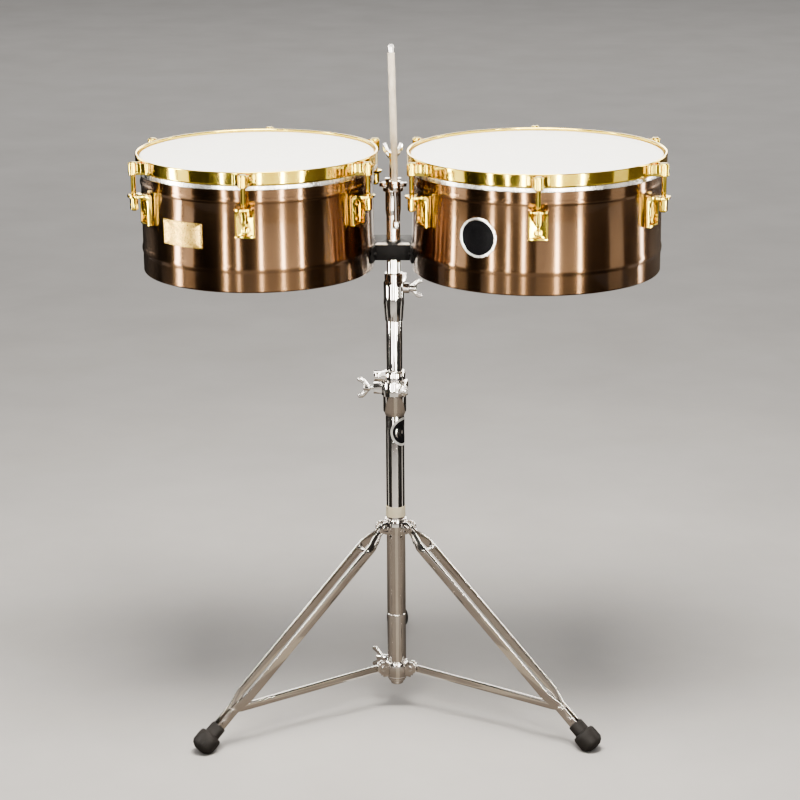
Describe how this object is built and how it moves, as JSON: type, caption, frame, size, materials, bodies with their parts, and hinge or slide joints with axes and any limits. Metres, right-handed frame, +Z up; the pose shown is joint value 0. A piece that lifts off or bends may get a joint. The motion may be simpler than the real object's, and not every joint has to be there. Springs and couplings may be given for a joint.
{
  "type": "timbales",
  "caption": "Shallow single-headed metal drums with gold tuning hardware on a telescopic column, folding double-strip tripod and a cowbell post.",
  "frame": {"origin": "on the floor under the axis of the column", "axes": "+Z up along the column, +X from the smaller drum to the larger, -Y towards the player's side shown in front"},
  "size_m": [0.81, 0.6044, 1.0849],
  "materials": {
    "bronze_shell": "brushed, dark bronze tint, clear coated",
    "gold": "polished gold plate",
    "silver_hoop": "bright",
    "drumhead": "white coated film",
    "badge_black": "gloss black disc",
    "black_bracket": "matt black paint",
    "rubber": "matt",
    "cream_band": "satin",
    "ivory_sleeve": "satin",
    "chrome": "mirror"
  },
  "bodies": {
    "base": {"base_tube": "chrome", "base_end_cap": "chrome", "leg_collar": "chrome", "collar_pins": "chrome", "tape_band": "cream_band", "base_clamp": "chrome", "clamp_bolt": "chrome"},
    "hub": {"hub": "chrome", "hub_pins": "chrome"},
    "hub_wing": {"hub_wing_screw": "chrome"},
    "clamp_wing": {"clamp_wing_screw": "chrome"},
    "middle": {"middle_tube": "chrome", "memory_lock": "chrome", "middle_collar": "chrome"},
    "collar_wing": {"collar_wing_screw": "chrome"},
    "upper": {"upper_tube": "chrome", "top_sleeve": "chrome", "top_clamp": "chrome"},
    "post_wing": {"post_wing": "chrome"},
    "drums": {"drum_bracket": "black_bracket", "mount_plates": "black_bracket", "mount_bolts": "chrome", "shell_left": "bronze_shell", "shell_right": "bronze_shell", "head_left": "drumhead", "head_right": "drumhead", "flesh_hoop_left": "silver_hoop", "flesh_hoop_right": "silver_hoop", "rim_left": "gold", "rim_right": "gold", "lug_brackets": "gold", "tuning_rods": "gold", "lug_screws": "gold", "name_plate": "gold", "round_badge": "badge_black"},
    "rod_eye": {"rod_eye": "chrome"},
    "cowbell_rod": {"cowbell_rod": "chrome", "rod_sleeve": "ivory_sleeve", "rod_stop": "chrome"},
    "leg_left": {"leg_left": "chrome", "foot_left": "rubber"},
    "brace_left": {"brace_left": "chrome"},
    "leg_right": {"leg_right": "chrome", "foot_right": "rubber"},
    "brace_right": {"brace_right": "chrome"},
    "leg_rear": {"leg_rear": "chrome", "foot_rear": "rubber"},
    "brace_rear": {"brace_rear": "chrome"},
    "nut_left_1": {"tuning_nut_left_1": "gold"},
    "nut_left_2": {"tuning_nut_left_2": "gold"},
    "nut_left_3": {"tuning_nut_left_3": "gold"},
    "nut_left_4": {"tuning_nut_left_4": "gold"},
    "nut_left_5": {"tuning_nut_left_5": "gold"},
    "nut_left_6": {"tuning_nut_left_6": "gold"},
    "nut_right_1": {"tuning_nut_right_1": "gold"},
    "nut_right_2": {"tuning_nut_right_2": "gold"},
    "nut_right_3": {"tuning_nut_right_3": "gold"},
    "nut_right_4": {"tuning_nut_right_4": "gold"},
    "nut_right_5": {"tuning_nut_right_5": "gold"},
    "nut_right_6": {"tuning_nut_right_6": "gold"}
  },
  "joints": [
    {"name": "leg_left_fold", "type": "hinge", "parent": "base", "child": "leg_left", "pos_m": [-0.0199, -0.01268, 0.3137], "axis": [0.5373, -0.8434, 0], "range_deg": [0, 42]},
    {"name": "leg_right_fold", "type": "hinge", "parent": "base", "child": "leg_right", "pos_m": [0.02093, -0.0109, 0.3137], "axis": [0.4617, 0.887, 0], "range_deg": [0, 42]},
    {"name": "leg_rear_fold", "type": "hinge", "parent": "base", "child": "leg_rear", "pos_m": [-0.00103, 0.02358, 0.3137], "axis": [-0.999, -0.0436, 0], "range_deg": [0, 42]},
    {"name": "hub_slide", "type": "slide", "parent": "base", "child": "hub", "axis": [0, 0, 1], "range_m": [0, 0.1386]},
    {"name": "brace_left_swing", "type": "hinge", "parent": "hub", "child": "brace_left", "pos_m": [-0.02294, -0.01461, 0.0727], "axis": [0.5373, -0.8434, 0], "range_deg": [0, 80.95]},
    {"name": "brace_right_swing", "type": "hinge", "parent": "hub", "child": "brace_right", "pos_m": [0.02413, -0.01256, 0.0727], "axis": [0.4617, 0.887, 0], "range_deg": [0, 80.95]},
    {"name": "brace_rear_swing", "type": "hinge", "parent": "hub", "child": "brace_rear", "pos_m": [-0.00119, 0.02717, 0.0727], "axis": [-0.999, -0.0436, 0], "range_deg": [0, 80.95]},
    {"name": "hub_wing_turn", "type": "hinge", "parent": "hub", "child": "hub_wing", "pos_m": [-0.01437, 0.00748, 0.079], "axis": [-0.887, 0.4617, 0], "continuous": true},
    {"name": "clamp_wing_turn", "type": "hinge", "parent": "base", "child": "clamp_wing", "pos_m": [-0.026, 0, 0.542], "axis": [-1, 0, 0], "continuous": true},
    {"name": "middle_height", "type": "slide", "parent": "base", "child": "middle", "axis": [0, 0, 1], "range_m": [0, 0.2]},
    {"name": "collar_wing_turn", "type": "hinge", "parent": "middle", "child": "collar_wing", "pos_m": [0.014, 0, 0.703], "axis": [1, 0, 0], "continuous": true},
    {"name": "upper_height", "type": "slide", "parent": "middle", "child": "upper", "axis": [0, 0, 1], "range_m": [-0.01, 0.09]},
    {"name": "drum_swivel", "type": "hinge", "parent": "upper", "child": "drums", "pos_m": [0, 0, 0.766], "axis": [0, 0, 1], "range_deg": [-20, 20]},
    {"name": "post_wing_turn", "type": "hinge", "parent": "upper", "child": "post_wing", "pos_m": [0, 0, 0.91], "axis": [0, 0, 1], "continuous": true},
    {"name": "rod_tilt", "type": "hinge", "parent": "upper", "child": "rod_eye", "pos_m": [0.00425, -0.025, 0.87], "axis": [0, 1, 0], "range_deg": [-6, 6]},
    {"name": "rod_height", "type": "slide", "parent": "rod_eye", "child": "cowbell_rod", "axis": [-0.0216, 0, 0.9998], "range_m": [-0.015, 0.04]},
    {"name": "nut_left_1_turn", "type": "hinge", "parent": "drums", "child": "nut_left_1", "pos_m": [-0.207, -0.2174, 0.86], "axis": [0, 0, 1], "continuous": true},
    {"name": "nut_left_2_turn", "type": "hinge", "parent": "drums", "child": "nut_left_2", "pos_m": [-0.03172, -0.1162, 0.86], "axis": [0, 0, 1], "continuous": true},
    {"name": "nut_left_3_turn", "type": "hinge", "parent": "drums", "child": "nut_left_3", "pos_m": [-0.03172, 0.0862, 0.86], "axis": [0, 0, 1], "continuous": true},
    {"name": "nut_left_4_turn", "type": "hinge", "parent": "drums", "child": "nut_left_4", "pos_m": [-0.207, 0.1874, 0.86], "axis": [0, 0, 1], "continuous": true},
    {"name": "nut_left_5_turn", "type": "hinge", "parent": "drums", "child": "nut_left_5", "pos_m": [-0.38228, 0.0862, 0.86], "axis": [0, 0, 1], "continuous": true},
    {"name": "nut_left_6_turn", "type": "hinge", "parent": "drums", "child": "nut_left_6", "pos_m": [-0.38228, -0.1162, 0.86], "axis": [0, 0, 1], "continuous": true},
    {"name": "nut_right_1_turn", "type": "hinge", "parent": "drums", "child": "nut_right_1", "pos_m": [0.2197, -0.2301, 0.86], "axis": [0, 0, 1], "continuous": true},
    {"name": "nut_right_2_turn", "type": "hinge", "parent": "drums", "child": "nut_right_2", "pos_m": [0.40598, -0.12255, 0.86], "axis": [0, 0, 1], "continuous": true},
    {"name": "nut_right_3_turn", "type": "hinge", "parent": "drums", "child": "nut_right_3", "pos_m": [0.40598, 0.09255, 0.86], "axis": [0, 0, 1], "continuous": true},
    {"name": "nut_right_4_turn", "type": "hinge", "parent": "drums", "child": "nut_right_4", "pos_m": [0.2197, 0.2001, 0.86], "axis": [0, 0, 1], "continuous": true},
    {"name": "nut_right_5_turn", "type": "hinge", "parent": "drums", "child": "nut_right_5", "pos_m": [0.03342, 0.09255, 0.86], "axis": [0, 0, 1], "continuous": true},
    {"name": "nut_right_6_turn", "type": "hinge", "parent": "drums", "child": "nut_right_6", "pos_m": [0.03342, -0.12255, 0.86], "axis": [0, 0, 1], "continuous": true}
  ],
  "couplings": [
    {"joint": "leg_right_fold", "follows": "leg_left_fold", "ratio": 1},
    {"joint": "leg_rear_fold", "follows": "leg_left_fold", "ratio": 1},
    {"joint": "hub_slide", "follows": "leg_left_fold", "m_per_rad": 0.18846},
    {"joint": "brace_left_swing", "follows": "leg_left_fold", "ratio": 1.9203},
    {"joint": "brace_right_swing", "follows": "leg_left_fold", "ratio": 1.9203},
    {"joint": "brace_rear_swing", "follows": "leg_left_fold", "ratio": 1.9203}
  ]
}
